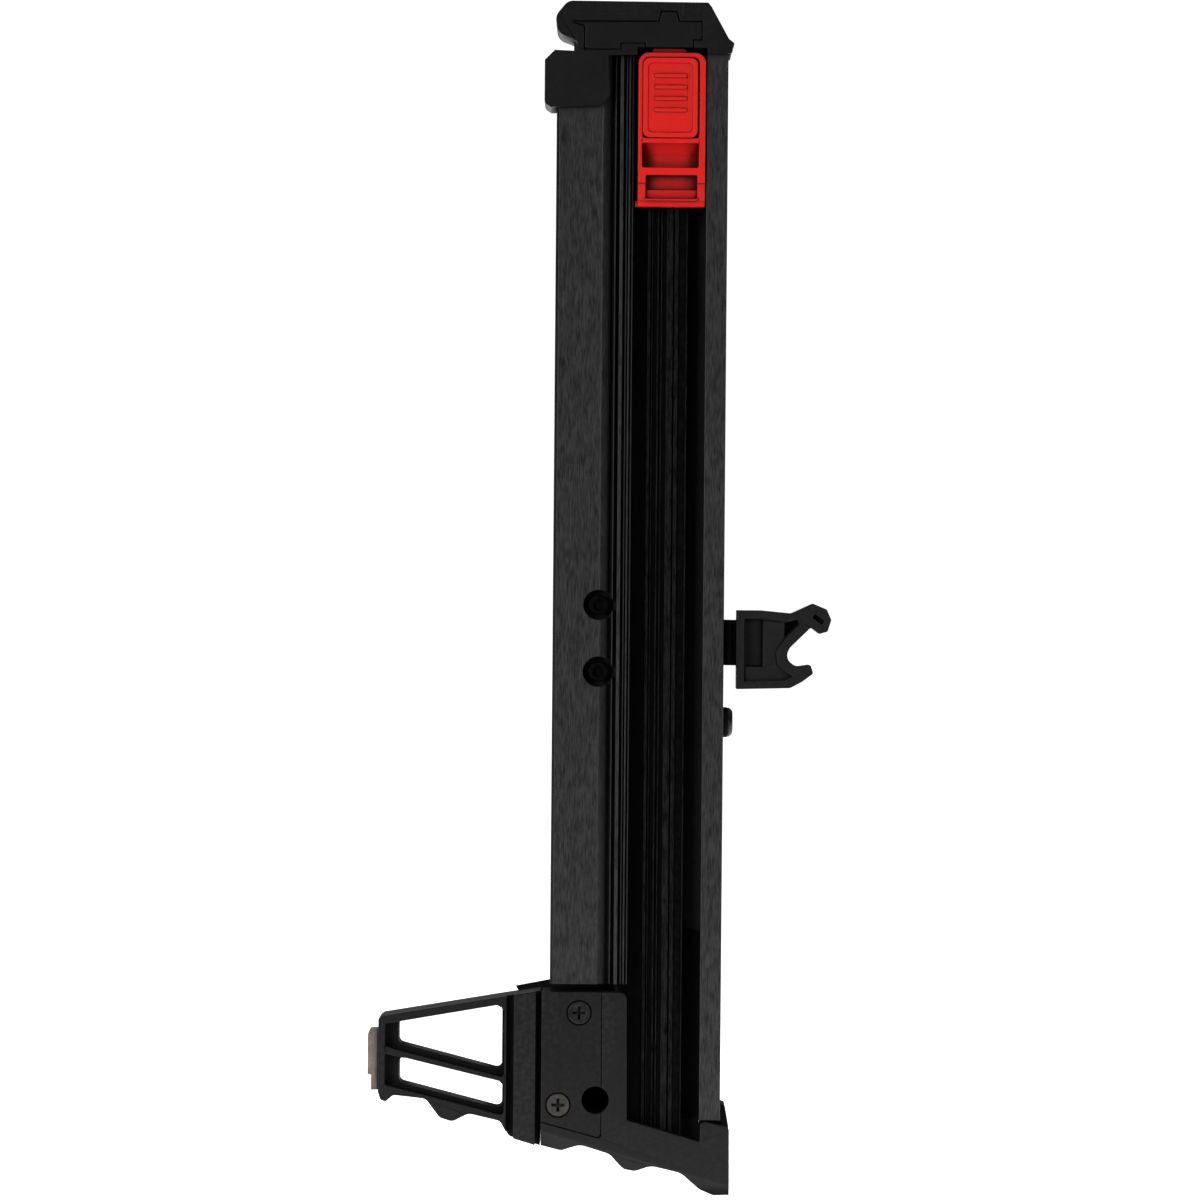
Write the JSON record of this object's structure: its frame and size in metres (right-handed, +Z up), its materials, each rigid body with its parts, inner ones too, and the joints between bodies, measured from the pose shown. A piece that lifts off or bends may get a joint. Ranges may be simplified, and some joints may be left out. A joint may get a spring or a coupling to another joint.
{
  "type": "staple gun magazine",
  "caption": "Removable long magazine of a fencing staple gun: slotted track, sprung pusher, toothed nose with windowed arm, end cap and side clip.",
  "frame": {"origin": "axis of the lock pin hole through the nose, at the magazine's mid depth", "axes": "+Z up the track towards the end cap, -Y out of the slotted face, +X towards the tool's handle"},
  "size_m": [0.1984, 0.0357, 0.5134],
  "materials": {
    "anodised_aluminium": "black anodised, brushed along its length",
    "cast_black": "satin black coating on a casting",
    "cover_steel": "smooth black coating",
    "black_steel": "black oxide",
    "dark_screw": "black oxide screw",
    "worn_screw": "black oxide screw worn to warm grey",
    "bronze_steel": "heat-tinted hardened steel",
    "spring_steel": "bright spring steel",
    "black_plastic": "fine grained nylon",
    "red_plastic": "satin red nylon",
    "black_rubber": "matt rubber"
  },
  "bodies": {
    "root": {"track_extrusion": "anodised_aluminium", "slot_strip": "anodised_aluminium", "staple_rail": "black_steel", "feed_liner": "black_steel", "nose_shoe": "cast_black", "nose_arm": "cast_black", "cover_plate": "cover_steel", "cover_screw_upper": "dark_screw", "cover_screw_lower": "worn_screw", "wear_pad": "bronze_steel", "back_plate": "cover_steel", "back_screw_1": "dark_screw", "back_screw_2": "dark_screw", "back_screw_3": "dark_screw", "back_screw_4": "dark_screw", "back_screw_5": "dark_screw", "back_screw_6": "dark_screw", "end_cap": "black_plastic", "end_cap_plate": "black_plastic", "cap_screw_left": "dark_screw", "cap_screw_right": "dark_screw", "clip_bracket": "black_steel", "bracket_screw_upper": "dark_screw", "bracket_screw_lower": "dark_screw", "tool_clip": "black_plastic", "bumper_washer": "black_rubber", "bumper_screw": "dark_screw", "spring_tape": "spring_steel", "tape_anchor": "black_steel"},
    "pusher": {"pusher_body": "red_plastic", "pusher_follower": "black_plastic", "pusher_screw_left": "dark_screw", "pusher_screw_right": "dark_screw", "drum_pin": "spring_steel", "pad_pivot_pin": "spring_steel", "pad_spring": "spring_steel"},
    "drum": {"spring_drum": "spring_steel"},
    "pad": {"thumb_pad": "red_plastic"}
  },
  "joints": [
    {"name": "pusher_slide", "type": "slide", "parent": "root", "child": "pusher", "axis": [0, 0, -1], "range_m": [0, 0.388], "deforming": ["spring_tape"]},
    {"name": "drum_spin", "type": "hinge", "parent": "pusher", "child": "drum", "pos_m": [0.0391, -0.0096, 0.4246], "axis": [0, -1, 0], "continuous": true},
    {"name": "pad_press", "type": "hinge", "parent": "pusher", "child": "pad", "pos_m": [0.0291, -0.0126, 0.4162], "axis": [-1, 0, 0], "range_deg": [0, 4.5], "stiffness_Nm_per_rad": 1}
  ],
  "couplings": [
    {"joint": "drum_spin", "follows": "pusher_slide", "rad_per_m": 137}
  ]
}
